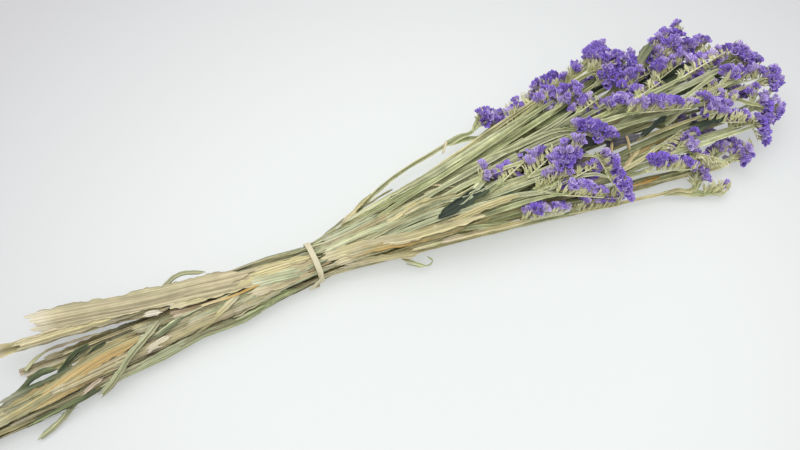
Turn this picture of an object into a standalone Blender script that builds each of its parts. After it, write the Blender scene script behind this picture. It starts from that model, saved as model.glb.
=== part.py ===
"""A bunch of dried statice (sea lavender) held by a rubber band and lying on its side.

Thirteen cut stems are stacked in three rows inside the band. Behind the band they open a little
towards their cut ends, and in front of it they fan out and fork. Each fork carries one-sided flower
spikes, and dry strap leaves hang from the stems. +X runs from the cut ends to the flowers, +Z is up
and the bunch rests on the plane Z = 0.
"""
import math

import bmesh
import bpy
from mathutils import Vector

MM = 0.001

# Driving dimensions, in millimetres.
GAP = 0.3  # clearance between two pieces that touch
STEM_WIDTH = 6.4  # the winged stem, across its wings, where the band holds it
STEM_HEIGHT = 6.0
WING_EDGE = 2.0  # the height of its blunt side edges
BUTT_SWELL = 1.22  # how much wider a stem is at its cut end than in the band
FORK_TAPER = 0.62  # how much narrower it is where it forks
BRANCH_RADIUS = 1.5
BRANCH_RISE = 7.0  # the straight end of a branch, under its spike
BAND_X = -68.0
BAND_WIDTH = 4.0
BAND_THICKNESS = 1.0
BAND_SLACK = 0.45  # between the band's inside and the outermost stems
BAND_CHAMFER = 4.9  # how far the band's slanting sides reach in over the shorter rows
BAND_HOLD = 9.0  # half the length that the band squeezes straight
LEVEL_REACH = 8.0  # how far a stem keeps that direction on either side
SPIKE_WIDTH = 14.0
SPIKE_HEIGHT = 12.5
SPIKE_FOOT = 1.5  # half the width of its foot, and how far that lies under its stalk
LEAF_THICKNESS = 1.2
LEAF_EDGE = 0.5

ROW_PITCH = STEM_HEIGHT + GAP
COLUMN_PITCH = STEM_WIDTH + GAP
ROWS = 3
STACK_HEIGHT = ROWS * STEM_HEIGHT + (ROWS - 1) * GAP
STACK_MIDDLE_Z = BAND_THICKNESS + BAND_SLACK + STACK_HEIGHT / 2
STEMS_IN_ROW = (4, 5, 4)
LEFT = (0.0, 1.0, 0.0)

# Each stem: its row and column in the band, its cut end, how far it bows to the left between the
# band and its fork, where it forks, and its spikes.
# A spike is: letter, base point, heading in plan and pitch in degrees, length, and the side that
# its flowers face, in degrees from straight up towards the left of its heading.
STEMS = (
    # bottom row, from the right edge of the bunch to the left
    (0, 0, (-336, -33), 0, (214, -57, 6), (
        ("a", (234, -60, 7), 14, 4, 18, 20),
        ("b", (234, -68, 3), -12, 0, 21, -30))),
    (0, 1, (-342, -24), 0, (240, -46, 7), (
        ("a", (268, -49, 9), -8, 5, 26, 30),
        ("b", (262, -39, 3), 16, 4, 24, 30))),
    (0, 2, (-292, -10), 0, (158, 44, 6), (
        ("a", (182, 53, 7), 10, 6, 34, 50),
        ("b", (178, 41, 2.5), -12, 0, 30, 10),
        ("c", (173, 60, 10), 42, 8, 25, 40))),
    (0, 3, (-294, 15), 9, (62, 59, 12), (
        ("a", (94, 57, 16), 31, 12, 20, 20),
        ("b", (104, 52, 7), 10, 0, 22, 80))),
    # middle row
    (1, 0, (-332, -30), 0, (158, -30, 26), (
        ("a", (192, -39, 30), -22, 7, 33, 30),
        ("b", (205, -24, 31), 18, 8, 34, -30),
        ("c", (174, -46, 20), -30, -8, 24, -20))),
    (1, 1, (-340, -18), 0, (214, -20, 27), (
        ("a", (260, -10, 30), -22, 6, 44, 50),
        ("b", (294, -34, 22), 8, 0, 36, -20),
        ("c", (236, -34, 29), -30, 4, 30, -10))),
    (1, 2, (-289, 5), 0, (232, 10, 29), (
        ("a", (308, 22, 34), 14, 10, 28, 20),
        ("b", (304, 3, 30), -6, 4, 38, 30),
        ("c", (262, 26, 22), 10, -4, 32, 20))),
    (1, 3, (-276, 32), 0, (172, 38, 27), (
        ("a", (246, 52, 33), 18, 10, 46, 40),
        ("b", (262, 42, 26), 8, 2, 34, 10),
        ("c", (200, 60, 32), 4, 10, 36, 60))),
    (1, 4, (-254, 42), 3, (98, 40, 24), (
        ("a", (120, 52, 26), 30, 10, 28, 30),
        ("b", (138, 44, 29), 6, 7, 32, 10),
        ("c", (140, 62, 12), 28, 0, 24, 30))),
    # top row
    (2, 0, (-328, -18), 0, (76, -22, 34), (
        ("a", (92, -40, 25), -9, 0, 34, 50),
        ("b", (124, -36, 39), -10, 6, 36, 60),
        ("c", (152, -26, 48), -8, 8, 30, 30))),
    (2, 1, (-334, -6), 0, (72, -4, 36), (
        ("a", (86, -1, 43), 18, 8, 34, -20),
        ("b", (122, -14, 46), -2, 7, 32, 10))),
    (2, 2, (-303, 29), 0, (168, 8, 46), (
        ("a", (203, 12, 52), -24, 2, 43, 45),
        ("b", (252, -7, 48), -16, 0, 42, 20),
        ("c", (252, 13, 50), 7, 4, 42, 10))),
    (2, 3, (-273, 46), 0, (116, 20, 42), (
        ("a", (146, 16, 48), -18, 7, 40, 10),
        ("b", (154, 42, 46), 22, 8, 36, 20))),
)

# Each leaf: name, points of its midrib, width, and the side that its face turns to, as on a spike.
LEAVES = (
    ("leaf_broad", ((-276, 45, 24), (-238, 37, 24), (-196, 26, 23.6), (-160, 17, 23)), 15, 0),
    ("leaf_curled", ((-174, 32, 19), (-169, 34, 25), (-162, 31, 34), (-143, 20, 36)), 4, 80),
    ("leaf_over", ((-184, 1, 22.6), (-207, -12, 23.6), (-228, -27, 20), (-243, -39, 8)), 8, 0),
    ("leaf_between", ((-270, -2, 12), (-286, -4, 11), (-302, -6, 9), (-316, -8, 8)), 6, 90),
    ("leaf_low", ((-262, -31, 5), (-276, -37, 4.5), (-296, -45, 3.5)), 6, 90),
    ("leaf_tendril", ((-4, -22.9, 5), (6, -30, 5), (14, -31, 8), (12, -27, 12)), 3, 90),
    ("leaf_straw", ((-10, 14, 28), (8, 15, 31), (30, 12, 38)), 6, 0),
)


def clear_scene():
    for found in list(bpy.data.objects):
        bpy.data.objects.remove(found)


def new_collection(name):
    made = bpy.data.collections.new(name)
    bpy.context.scene.collection.children.link(made)
    return made


def finish_of(name, colour, roughness):
    material = bpy.data.materials.new(name)
    material.use_nodes = True
    shader = material.node_tree.nodes["Principled BSDF"]
    shader.inputs["Base Color"].default_value = (*colour, 1.0)
    shader.inputs["Roughness"].default_value = roughness
    shader.inputs["Metallic"].default_value = 0.0
    return material


def section(name, outline):
    """A closed flat outline, in millimetres and anticlockwise, that other curves are swept with."""
    curve = bpy.data.curves.new(name, "CURVE")
    curve.dimensions = "2D"
    spline = curve.splines.new("POLY")
    spline.points.add(len(outline) - 1)
    for point, (across, up) in zip(spline.points, reversed(outline)):
        point.co = (across * MM, up * MM, 0.0, 1.0)
    spline.use_cyclic_u = True
    guide = bpy.data.objects.new(name, curve)
    guides.objects.link(guide)
    guide.hide_render = True
    guide.display_type = "WIRE"
    return guide


def swept(name, where, outline, path, widths, material, facing=0.0, steps=3, level=()):
    """A smooth curve through the path's points, in millimetres, swept with an outline.
    The curve runs along X where it passes the points that level counts."""
    curve = bpy.data.curves.new(name, "CURVE")
    curve.dimensions = "3D"
    curve.twist_mode = "Z_UP"
    curve.bevel_mode = "OBJECT"
    curve.bevel_object = outline
    curve.use_fill_caps = True
    curve.resolution_u = steps
    spline = curve.splines.new("BEZIER")
    spline.bezier_points.add(len(path) - 1)
    for point, place, width in zip(spline.bezier_points, path, widths):
        point.co = [value * MM for value in place]
        point.handle_left_type = "AUTO"
        point.handle_right_type = "AUTO"
        point.radius = width
        point.tilt = math.radians(-facing)
    for place in level:
        point = spline.bezier_points[place]
        point.handle_left_type = "ALIGNED"
        point.handle_right_type = "ALIGNED"
        point.handle_left = point.co - Vector((LEVEL_REACH * MM, 0.0, 0.0))
        point.handle_right = point.co + Vector((LEVEL_REACH * MM, 0.0, 0.0))
    curve.materials.append(material)
    piece = bpy.data.objects.new(name, curve)
    where.objects.link(piece)
    return piece


def as_mesh(piece, where):
    """The swept curve as a closed mesh, so that a Boolean can join it."""
    bpy.context.view_layer.update()
    graph = bpy.context.evaluated_depsgraph_get()
    mesh = bpy.data.meshes.new_from_object(piece.evaluated_get(graph))
    name = piece.name
    shape = bmesh.new()
    shape.from_mesh(mesh)
    bmesh.ops.remove_doubles(shape, verts=shape.verts, dist=1e-6)
    bmesh.ops.recalc_face_normals(shape, faces=shape.faces)
    shape.to_mesh(mesh)
    shape.free()
    bpy.data.objects.remove(piece)
    made = bpy.data.objects.new(name, mesh)
    where.objects.link(made)
    return made


def join(body, arm):
    union = body.modifiers.new("join_" + arm.name, "BOOLEAN")
    union.operation = "UNION"
    union.solver = "EXACT"
    union.object = arm
    arm.hide_render = True
    arm.display_type = "WIRE"


def direction(heading, pitch):
    turn, rise = math.radians(heading), math.radians(pitch)
    return (math.cos(turn) * math.cos(rise), math.sin(turn) * math.cos(rise), math.sin(rise))


def along(point, way, distance):
    return tuple(p + w * distance for p, w in zip(point, way))


def between(a, b, share):
    return tuple(p + (q - p) * share for p, q in zip(a, b))


def slot_in_band(row, column):
    """Where a stem's middle lies inside the band, seen along the bunch."""
    y = (column - (STEMS_IN_ROW[row] - 1) / 2) * COLUMN_PITCH
    z = STACK_MIDDLE_Z + (row - (ROWS - 1) / 2) * ROW_PITCH
    return y, z


def stem(number, row, column, butt, bow, fork, spikes):
    """A winged stem with its fork, and the flower spikes that the fork carries."""
    name = f"stem_{number:02d}"
    y, z = slot_in_band(row, column)
    butt_z = STEM_HEIGHT * BUTT_SWELL * (row + 0.5) + GAP * row
    held_from, held_to = (BAND_X - BAND_HOLD, y, z), (BAND_X + BAND_HOLD, y, z)
    cut_end = (*butt, butt_z)
    knee = between(held_from, cut_end, 0.5)
    waist = along(between(held_to, fork, 0.5), LEFT, bow)
    path = (cut_end, knee, held_from, held_to, waist, fork)
    widths = (BUTT_SWELL, (1 + BUTT_SWELL) / 2, 1.0, 1.0, (1 + FORK_TAPER) / 2, FORK_TAPER)
    body = as_mesh(swept(name, bunch, stem_section, path, widths, stem_finish, level=(2, 3)), bunch)
    inside_fork = between(fork, waist, 0.08)
    for letter, base, heading, pitch, length, face in spikes:
        way = direction(heading, pitch)
        seat = along(base, way, -GAP)
        rise = along(seat, way, -BRANCH_RISE)
        halfway = between(inside_fork, rise, 0.55)
        arm = swept(f"branch_{number:02d}{letter}", guides, branch_section,
                    (inside_fork, halfway, rise, seat), (1.15, 1.05, 1.0, 1.0), stem_finish, steps=2)
        join(body, as_mesh(arm, guides))
        spike(f"spike_{number:02d}{letter}", base, way, length, face)


def spike(name, base, way, length, face):
    """A one-sided flower spike: narrow at its bracts, wide where the flowers open."""
    path = [along(base, way, length * share) for share in (0.0, 0.3, 0.72, 1.0)]
    swept(name, bunch, spike_section, path, (0.3, 0.95, 1.0, 0.55), flower_finish, face, 2)


def leaf(name, path, width, face):
    """A dry strap leaf, joined to its stem at its first point and narrowing to its tip."""
    widths = [1.0] * (len(path) - 1) + [0.4]
    outline = section(name + "_section", (
        (width / 2, LEAF_EDGE / 2), (0, LEAF_THICKNESS / 2), (-width / 2, LEAF_EDGE / 2),
        (-width / 2, -LEAF_EDGE / 2), (0, -LEAF_THICKNESS / 2), (width / 2, -LEAF_EDGE / 2)))
    swept(name, bunch, outline, path, widths, leaf_finish, face)


def rubber_band():
    """A flat rubber loop, stretched straight from one outer stem to the next."""
    reach = BAND_SLACK + BAND_THICKNESS / 2
    side = (STEMS_IN_ROW[1] - 1) / 2 * COLUMN_PITCH + STEM_WIDTH / 2 + reach + GAP
    shoulder = side - BAND_CHAMFER
    top = STACK_HEIGHT / 2 + reach
    edge = WING_EDGE / 2 + reach / 2
    corners = ((side, -edge), (side, edge), (shoulder, top), (-shoulder, top),
               (-side, edge), (-side, -edge), (-shoulder, -top), (shoulder, -top))
    curve = bpy.data.curves.new("rubber_band", "CURVE")
    curve.dimensions = "3D"
    curve.twist_mode = "MINIMUM"
    curve.bevel_mode = "OBJECT"
    curve.bevel_object = band_section
    spline = curve.splines.new("POLY")
    spline.points.add(len(corners) - 1)
    for point, (y, z) in zip(spline.points, corners):
        point.co = (BAND_X * MM, y * MM, (z + STACK_MIDDLE_Z) * MM, 1.0)
    spline.use_cyclic_u = True
    curve.materials.append(band_finish)
    bunch.objects.link(bpy.data.objects.new("rubber_band", curve))


clear_scene()
bunch = new_collection("dried_statice_bunch")
guides = new_collection("guides")

stem_finish = finish_of("dry_stem", (0.46, 0.45, 0.25), 0.8)
flower_finish = finish_of("papery_flower", (0.22, 0.15, 0.44), 0.85)
leaf_finish = finish_of("dry_leaf", (0.42, 0.38, 0.21), 0.85)
band_finish = finish_of("natural_rubber", (0.66, 0.6, 0.4), 0.55)

half_width, half_height, half_edge = STEM_WIDTH / 2, STEM_HEIGHT / 2, WING_EDGE / 2
stem_section = section("stem_section", (
    (half_width, half_edge), (half_width / 2, half_height), (-half_width / 2, half_height),
    (-half_width, half_edge), (-half_width, -half_edge), (-half_width / 2, -half_height),
    (half_width / 2, -half_height), (half_width, -half_edge)))
branch_section = section("branch_section", [
    (BRANCH_RADIUS * math.cos(turn * math.tau / 6), BRANCH_RADIUS * math.sin(turn * math.tau / 6))
    for turn in range(6)])
spike_section = section("spike_section", (
    (SPIKE_FOOT, -SPIKE_FOOT), (SPIKE_WIDTH / 2, SPIKE_HEIGHT * 0.55),
    (SPIKE_WIDTH * 0.4, SPIKE_HEIGHT * 0.9), (0, SPIKE_HEIGHT), (-SPIKE_WIDTH * 0.4, SPIKE_HEIGHT * 0.9),
    (-SPIKE_WIDTH / 2, SPIKE_HEIGHT * 0.55), (-SPIKE_FOOT, -SPIKE_FOOT)))
band_section = section("band_section", (
    (BAND_WIDTH / 2, BAND_THICKNESS / 2), (-BAND_WIDTH / 2, BAND_THICKNESS / 2),
    (-BAND_WIDTH / 2, -BAND_THICKNESS / 2), (BAND_WIDTH / 2, -BAND_THICKNESS / 2)))

for count, (row, column, butt, bow, fork, spikes) in enumerate(STEMS, start=1):
    stem(count, row, column, butt, bow, fork, spikes)
for name, path, width, face in LEAVES:
    leaf(name, path, width, face)
rubber_band()
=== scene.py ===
import math
import random

import bpy
import numpy as np
from mathutils import Matrix, Vector, noise


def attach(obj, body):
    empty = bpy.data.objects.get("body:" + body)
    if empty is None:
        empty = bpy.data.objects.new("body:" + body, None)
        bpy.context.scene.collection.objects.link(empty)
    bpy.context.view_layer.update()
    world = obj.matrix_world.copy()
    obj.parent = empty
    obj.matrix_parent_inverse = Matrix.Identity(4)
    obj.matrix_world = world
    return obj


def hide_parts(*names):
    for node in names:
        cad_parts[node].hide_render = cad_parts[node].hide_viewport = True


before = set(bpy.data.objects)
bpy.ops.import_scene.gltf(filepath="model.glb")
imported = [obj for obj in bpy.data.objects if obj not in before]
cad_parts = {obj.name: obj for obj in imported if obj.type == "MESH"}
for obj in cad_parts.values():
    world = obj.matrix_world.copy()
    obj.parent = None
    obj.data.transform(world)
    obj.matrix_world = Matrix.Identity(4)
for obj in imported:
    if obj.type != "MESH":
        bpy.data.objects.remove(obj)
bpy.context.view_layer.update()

# ---- Camera -------------------------------------------------------------------------------------
# The bunch lies on a table, and the camera looks down on it from in front of its middle, with the
# cut ends at the lower left and the flowers at the upper right.
EYE = (-0.1757, -0.3805, 0.7513)
LOOK_DOWN = math.radians(60)
LOOK_TURN = math.radians(-25)

bpy.ops.object.camera_add(location=EYE, rotation=(math.pi / 2 - LOOK_DOWN, 0, LOOK_TURN))
camera = bpy.context.object
camera.name = "camera"
camera.data.lens = 50
camera.data.clip_start = 0.01
bpy.context.scene.camera = camera
bpy.context.scene.view_settings.view_transform = "Standard"

# ---- Table and light ----------------------------------------------------------------------------
# A plain matt white table top, painted brightest in front of the bunch and dimmer further out, as painted
# shade where the light falls off. The room is white all round, and a broad soft light hangs above the bunch,
# a little behind it on the left.
TABLE_BRIGHT = (0.855, 0.88, 0.865)
TABLE_PAINTED_DIM = (0.585, 0.575, 0.60)
TABLE_MIDDLE = (0.01, -0.09, 0)
TABLE_REACH = (0.14, 0.62)
TABLE_GLOW, SHADOW_LIFT = 1.03, 0.5


def new_finish(name, roughness, gloss):
    """A new material and its shader."""
    material = bpy.data.materials.new(name)
    material.use_nodes = True
    shader = material.node_tree.nodes["Principled BSDF"]
    shader.inputs["Roughness"].default_value = roughness
    shader.inputs["Specular IOR Level"].default_value = gloss
    return material, shader


def add_node(material, kind, **settings):
    """A new node. Each setting is one of its properties, or the value of one of its sockets."""
    node = material.node_tree.nodes.new("ShaderNode" + kind)
    for name, value in settings.items():
        if hasattr(node, name):
            setattr(node, name, value)
        else:
            node.inputs[name.replace("_", " ").title()].default_value = value
    return node


def wire(material, *joins):
    """Joins nodes: each join is a node, its outlet, the next node and its inlet."""
    for giver, outlet, taker, inlet in joins:
        material.node_tree.links.new(giver.outputs[outlet], taker.inputs[inlet])


def table_finish():
    """Matt white, painted dimmer further out as painted shade, and wherever it is seen directly a painted
    glow half lifts its shadows.
    """
    material, shader = new_finish("table_white", 0.8, 0.1)
    place = add_node(material, "TexCoord")
    away = add_node(material, "VectorMath", operation="DISTANCE")
    away.inputs[1].default_value = TABLE_MIDDLE
    share = add_node(material, "MapRange", interpolation_type="SMOOTHSTEP",
                     from_min=TABLE_REACH[0], from_max=TABLE_REACH[1])
    # painted shade: the colour is painted dimmer away from the middle, where the light falls off
    blend = add_node(material, "Mix", data_type="RGBA", a=(*TABLE_BRIGHT, 1), b=(*TABLE_PAINTED_DIM, 1))
    glow = add_node(material, "Emission", strength=TABLE_GLOW)
    seen = add_node(material, "LightPath")
    glossy, clear = (add_node(material, "Math", operation="MAXIMUM") for _ in range(2))
    lift = add_node(material, "Math", operation="MULTIPLY")
    lift.inputs[1].default_value = SHADOW_LIFT
    both = add_node(material, "MixShader")
    wire(material, (place, "Object", away, 0), (away, "Value", share, "Value"),
         (share, "Result", blend, "Factor"),
         (blend, "Result", shader, "Base Color"), (blend, "Result", glow, "Color"),
         (seen, "Is Camera Ray", glossy, 0), (seen, "Is Glossy Ray", glossy, 1), (glossy, "Value", clear, 0),
         (seen, "Is Transmission Ray", clear, 1), (clear, "Value", lift, 0), (lift, "Value", both, "Fac"),
         (shader, "BSDF", both, 1), (glow, "Emission", both, 2),
         (both, "Shader", material.node_tree.nodes["Material Output"], "Surface"))
    return material


bpy.ops.mesh.primitive_plane_add(size=12, location=(0, 0, -0.0002))
table = bpy.context.object
table.name = "table_top"
bpy.ops.object.transform_apply(location=True)
table.data.materials.append(table_finish())

bpy.ops.object.light_add(type="SUN", location=(-0.12, 0.36, 1.8))
window = bpy.context.object
window.name = "window_light"
window.data.angle = math.radians(70)
window.data.energy = 1.46
window.rotation_euler = (-window.location).to_track_quat("-Z", "Y").to_euler()

world = bpy.data.worlds.new("white_room")
bpy.context.scene.world = world
world.use_nodes = True
air = world.node_tree.nodes["Background"]
air.inputs["Color"].default_value = (0.98, 0.99, 1.0, 1)
air.inputs["Strength"].default_value = 0.63

# ---- Stems --------------------------------------------------------------------------------------
# Thirteen cut stems of the plant, held in three rows by the band. A statice stem is a thin ribbed
# core with four papery wings along its whole length, which dried wavy and brown at the edges.
MM = 0.001
STEM_GAP, STEM_WIDTH, STEM_HEIGHT = 0.3, 6.4, 6.0
STEMS_IN_ROW = (4, 5, 4)
BAND_X, BAND_Y, BAND_HOLD, LEVEL_REACH = -68.0, 3.2, 9.0, 8.0
BUTT_SWELL, FORK_TAPER = 1.22, 0.62
STACK_MIDDLE_Z = 1.45 + (3 * STEM_HEIGHT + 2 * STEM_GAP) / 2
STEM_SIDES = 12
STEM_CORE, WING_SIDE, WING_TOP = 0.0013, 0.0033, 0.0028

STRAW = (0.72, 0.64, 0.34)
GREY_GREEN = (0.67, 0.68, 0.41)
LEAF_GREEN = (0.52, 0.57, 0.27)
DARK_GREEN = (0.13, 0.16, 0.085)
BEIGE = (0.60, 0.52, 0.33)
CREAM = (0.80, 0.73, 0.57)
ORANGE_BROWN = (0.62, 0.40, 0.13)
OLIVE = (0.47, 0.44, 0.24)
DARK_OLIVE = (0.26, 0.27, 0.16)

CUT_WOOD = (0.66, 0.55, 0.42)
# how wide the side wings are along the stem, how dark each row's cut ends are painted, as painted shade under
# the rows above, and the stems whose cut ends stand clear of the others, which are not painted darker by row
WING_SPREAD = ((0, 1.1), (0.3, 1.15), (0.45, 0.9), (0.6, 0.62), (1, 0.8))
ROW_PAINTED_SHADE = (0.78, 0.9, 1.0)
CLEAR_ENDS = (3, 4, 7, 8)

# row and column in the band, the cut end, the bow to the left, the fork, and its colour in front of
# the band and behind it
STEMS = (
    (0, 0, (-336, -33), 3, (214, -55, 8), STRAW, BEIGE),
    (0, 1, (-342, -24), 0, (240, -46, 9), STRAW, LEAF_GREEN),
    (0, 2, (-292, -10), 0, (158, 44, 6), LEAF_GREEN, GREY_GREEN),
    (0, 3, (-294, 15), 10, (75, 58, 14), GREY_GREEN, BEIGE),
    (1, 0, (-332, -30), 0, (158, -30, 26), STRAW, STRAW),
    (1, 1, (-340, -18), 0, (214, -20, 27), GREY_GREEN, BEIGE),
    (1, 2, (-289, 5), 0, (232, 10, 29), GREY_GREEN, STRAW),
    (1, 3, (-276, 32), 0, (172, 38, 27), LEAF_GREEN, GREY_GREEN),
    (1, 4, (-254, 42), 3, (98, 40, 24), GREY_GREEN, BEIGE),
    (2, 0, (-328, -22), 0, (76, -22, 34), STRAW, BEIGE),
    (2, 1, (-334, -17), 0, (72, -4, 36), GREY_GREEN, DARK_OLIVE),
    (2, 2, (-303, 29), 0, (168, 8, 46), GREY_GREEN, STRAW),
    (2, 3, (-273, 46), 0, (116, 20, 42), GREY_GREEN, BEIGE),
)


def places(piece):
    """The piece's vertices as an array of points."""
    found = np.zeros(len(piece.data.vertices) * 3)
    piece.data.vertices.foreach_get("co", found)
    return found.reshape(-1, 3)


def set_places(piece, points):
    piece.data.vertices.foreach_set("co", points.ravel())
    piece.data.update()


def own_copy(template, name):
    """A copy of a modelled piece with a mesh of its own."""
    made = template.copy()
    made.data = template.data.copy()
    made.name = name
    made.data.name = name
    bpy.context.scene.collection.objects.link(made)
    return made


def give_tone(piece, colours):
    """Stores a colour for each vertex, which the finish reads as its base colour."""
    mesh = piece.data
    tone = mesh.attributes.get("tone") or mesh.attributes.new("tone", "FLOAT_COLOR", "POINT")
    values = np.ones((len(mesh.vertices), 4), np.float32)
    values[:, :3] = colours
    tone.data.foreach_set("color", values.ravel())


def ripple(points, seed, length, axis_values):
    """Smooth noise from -1 to 1 at each point along a piece, with bumps of about that length."""
    return np.array([noise.noise((x / length + seed * 7.31, a * 1.7, seed * 3.17))
                     for x, a in zip(points, axis_values)]) * 1.6


def cut_across(piece, cuts):
    """Cuts a bar that lies along X into short lengths."""
    bpy.ops.object.select_all(action="DESELECT")
    piece.select_set(True)
    bpy.context.view_layer.objects.active = piece
    bpy.context.tool_settings.mesh_select_mode = (False, True, False)
    mesh = piece.data
    for item in (*mesh.polygons, *mesh.vertices):
        item.select = False
    for edge in mesh.edges:
        a, b = (mesh.vertices[v].co for v in edge.vertices)
        edge.select = abs(a.x - b.x) > 1e-6
    bpy.ops.object.mode_set(mode="EDIT")
    bpy.ops.mesh.subdivide(number_cuts=cuts)
    bpy.ops.object.mode_set(mode="OBJECT")


def bar(name, sides, cuts):
    """A round bar of radius 1 from X = 0 to X = 1, cut into short lengths."""
    bpy.ops.mesh.primitive_cylinder_add(vertices=sides, radius=1, depth=1, end_fill_type="NGON",
                                        location=(0.5, 0, 0), rotation=(0, math.pi / 2, 0))
    made = bpy.context.object
    made.name = name
    bpy.ops.object.transform_apply(location=True, rotation=True)
    for number in cuts:
        cut_across(made, number)
    return made


def length_of(path):
    return sum(math.dist(a, b) for a, b in zip(path, path[1:])) * MM


def bend_along(piece, path, widths=None, facings=None, level=(), fitted=True):
    """Bends a straight piece, which lies along X, to a smooth route through points in millimetres.
    A fitted piece takes up the whole route, and another keeps its own length."""
    line = bpy.data.curves.new("route", "CURVE")
    line.dimensions = "3D"
    line.twist_mode = "Z_UP"
    line.resolution_u = 24
    line.use_stretch = fitted
    line.use_deform_bounds = fitted
    line.use_radius = widths is not None
    spline = line.splines.new("BEZIER")
    spline.bezier_points.add(len(path) - 1)
    for at, (point, place) in enumerate(zip(spline.bezier_points, path)):
        point.co = [value * MM for value in place]
        point.handle_left_type = point.handle_right_type = "AUTO"
        point.radius = widths[at] if widths else 1.0
        point.tilt = math.radians(-facings[at]) if facings else 0.0
    for at in level:
        point = spline.bezier_points[at]
        point.handle_left_type = point.handle_right_type = "ALIGNED"
        point.handle_left = point.co - Vector((LEVEL_REACH * MM, 0, 0))
        point.handle_right = point.co + Vector((LEVEL_REACH * MM, 0, 0))
    route = bpy.data.objects.new("route", line)
    bpy.context.scene.collection.objects.link(route)
    bend = piece.modifiers.new("bend", "CURVE")
    bend.object = route
    bpy.context.view_layer.objects.active = piece
    bpy.ops.object.modifier_apply(modifier="bend")
    bpy.data.objects.remove(route)
    bpy.data.curves.remove(line)


def winged_bar(name, cuts, top):
    """A straight stem of length 1: a thin core with four wings that run along it."""
    made = bar(name, STEM_SIDES, cuts)
    points = places(made)
    around = np.round(np.arctan2(points[:, 2], points[:, 1]) / (math.tau / STEM_SIDES)).astype(int)
    quarter = around % (STEM_SIDES // 2)
    reach = np.where(quarter == 0, WING_SIDE, np.where(quarter == STEM_SIDES // 4, top, STEM_CORE))
    points[:, 1:] *= reach[:, None]
    set_places(made, points)
    return made


def wave_wings(piece, length, seed, sway=0.9, spread=((0, 1), (1, 1))):
    """Stretches a straight stem to its length, and makes its wings wavy, uneven and ragged."""
    points = places(piece)
    wide = np.interp(points[:, 0], *np.transpose(spread))
    points[:, 0] *= length
    out = np.hypot(points[:, 1], points[:, 2])
    wing = out > STEM_CORE * 1.2
    angle = np.arctan2(points[:, 2], points[:, 1])
    which = np.round(angle / (math.pi / 2)) % 4

    def bumps(extra, size):
        return ripple(points[:, 0], seed + extra, size, which * 5.0)

    drift = (0.17 * bumps(0, 0.016) + 0.22 * bumps(40, 0.05)) * sway
    grow = 1 + 0.22 * bumps(80, 0.03) + 0.12 * bumps(120, 0.007)
    grow *= np.where(which % 2 == 0, wide, 1)
    turned = angle + np.where(wing, drift, 0)
    reach = np.where(wing, np.clip(out * grow, STEM_CORE * 1.25, None), out)
    points[:, 1], points[:, 2] = reach * np.cos(turned), reach * np.sin(turned)
    set_places(piece, points)
    return points, wing


def speckle(material, scale, detail):
    """Noise in the piece's own space."""
    place = add_node(material, "TexCoord")
    made = add_node(material, "TexNoise", scale=scale, detail=detail)
    wire(material, (place, "Object", made, "Vector"))
    return made


def paint(material, colour, shade):
    """Makes a colour, brightened or darkened by a shade, the base colour of the material."""
    scale = add_node(material, "VectorMath", operation="SCALE")
    wire(material, (*colour, scale, 0), (*shade, scale, "Scale"),
         (scale, "Vector", material.node_tree.nodes["Principled BSDF"], "Base Color"))


def roughen(material, noise_node, strength, distance):
    """Raises the surface a little where the noise is high."""
    bump = add_node(material, "Bump", strength=strength, distance=distance)
    wire(material, (noise_node, "Fac", bump, "Height"),
         (bump, "Normal", material.node_tree.nodes["Principled BSDF"], "Normal"))


def fibre_finish(name, streak_scale, roughness, depth, mottle=0.2, darkest=0.7):
    """A dry ribbed surface: the piece's own tone, fine fibres along it, and blotches."""
    material, _ = new_finish(name, roughness, 0.25)
    tone = add_node(material, "Attribute", attribute_name="tone")
    along = add_node(material, "UVMap", uv_map="grain")
    stretch = add_node(material, "Mapping", scale=streak_scale)
    fibre = add_node(material, "TexNoise", scale=1.0, detail=3.0, roughness=0.6)
    streak = add_node(material, "MapRange", from_min=0.36, from_max=0.62, to_min=darkest, to_max=1.22)
    cloud = add_node(material, "MapRange", from_min=0.3, from_max=0.7, to_min=1 - mottle, to_max=1 + mottle)
    shade = add_node(material, "Math", operation="MULTIPLY")
    wire(material, (along, "UV", stretch, "Vector"), (stretch, "Vector", fibre, "Vector"),
         (fibre, "Fac", streak, "Value"), (speckle(material, 90, 4), "Fac", cloud, "Value"),
         (streak, "Result", shade, 0), (cloud, "Result", shade, 1))
    paint(material, (tone, "Color"), (shade, "Value"))
    roughen(material, fibre, 0.6, depth)
    return material


def grain_map(piece, along, across):
    """A UV map in metres, along the piece and across it, for the fibres to follow."""
    mesh = piece.data
    while mesh.uv_layers:
        mesh.uv_layers.remove(mesh.uv_layers[0])
    layer = mesh.uv_layers.new(name="grain")
    corner = np.zeros(len(mesh.loops), np.int32)
    mesh.loops.foreach_get("vertex_index", corner)
    layer.data.foreach_set("uv", np.column_stack((along, across))[corner].ravel())


def between(a, b, share):
    return tuple(p + (q - p) * share for p, q in zip(a, b))


def blended(a, b, share):
    """Colours mixed for each vertex by its share."""
    return np.array(a) * (1 - share) + np.array(b) * share


def stem_route(row, column, butt, bow, fork):
    """The stem's route, from its cut end through the band to its fork."""
    y = BAND_Y + (column - (STEMS_IN_ROW[row] - 1) / 2) * (STEM_WIDTH + STEM_GAP)
    z = STACK_MIDDLE_Z + (row - 1) * (STEM_HEIGHT + STEM_GAP)
    cut_end = (*butt, STEM_HEIGHT * BUTT_SWELL * (row + 0.5) + STEM_GAP * row)
    held_from, held_to = (BAND_X - BAND_HOLD, y, z), (BAND_X + BAND_HOLD, y, z)
    waist = between(held_to, fork, 0.5)
    waist = (waist[0], waist[1] + bow, waist[2])
    return cut_end, between(held_from, cut_end, 0.5), held_from, held_to, waist, fork


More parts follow.
